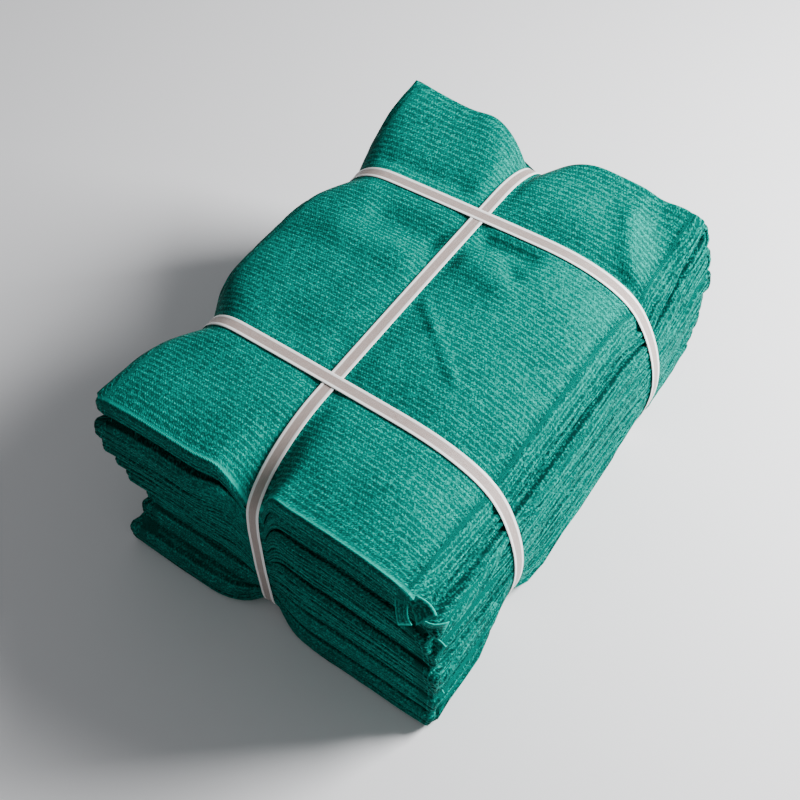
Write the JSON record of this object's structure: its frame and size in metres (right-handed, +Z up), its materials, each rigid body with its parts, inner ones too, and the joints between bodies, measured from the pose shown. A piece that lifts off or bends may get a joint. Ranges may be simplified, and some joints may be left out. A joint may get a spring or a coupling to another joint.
{
  "type": "folded shade netting",
  "caption": "Length of knitted green shade net folded back and forth into a soft rectangular bale, tied by flat plastic straps crosswise and lengthwise.",
  "frame": {"origin": "on the surface it rests on, under the middle of the bale's outline", "axes": "+Z up; +Y along the bale, towards the end of the upturned corner; +X across it, along the net's ribs"},
  "size_m": [0.3332, 0.4482, 0.2081],
  "materials": {
    "net": "knitted polyethylene tape and thread, teal green, satin with fine ribs",
    "strap": "flat embossed polypropylene band, off-white, smooth raised edges"
  },
  "bodies": {
    "root": {"netting": "net", "strap_near": "strap", "strap_far": "strap", "strap_length": "strap"}
  },
  "joints": []
}
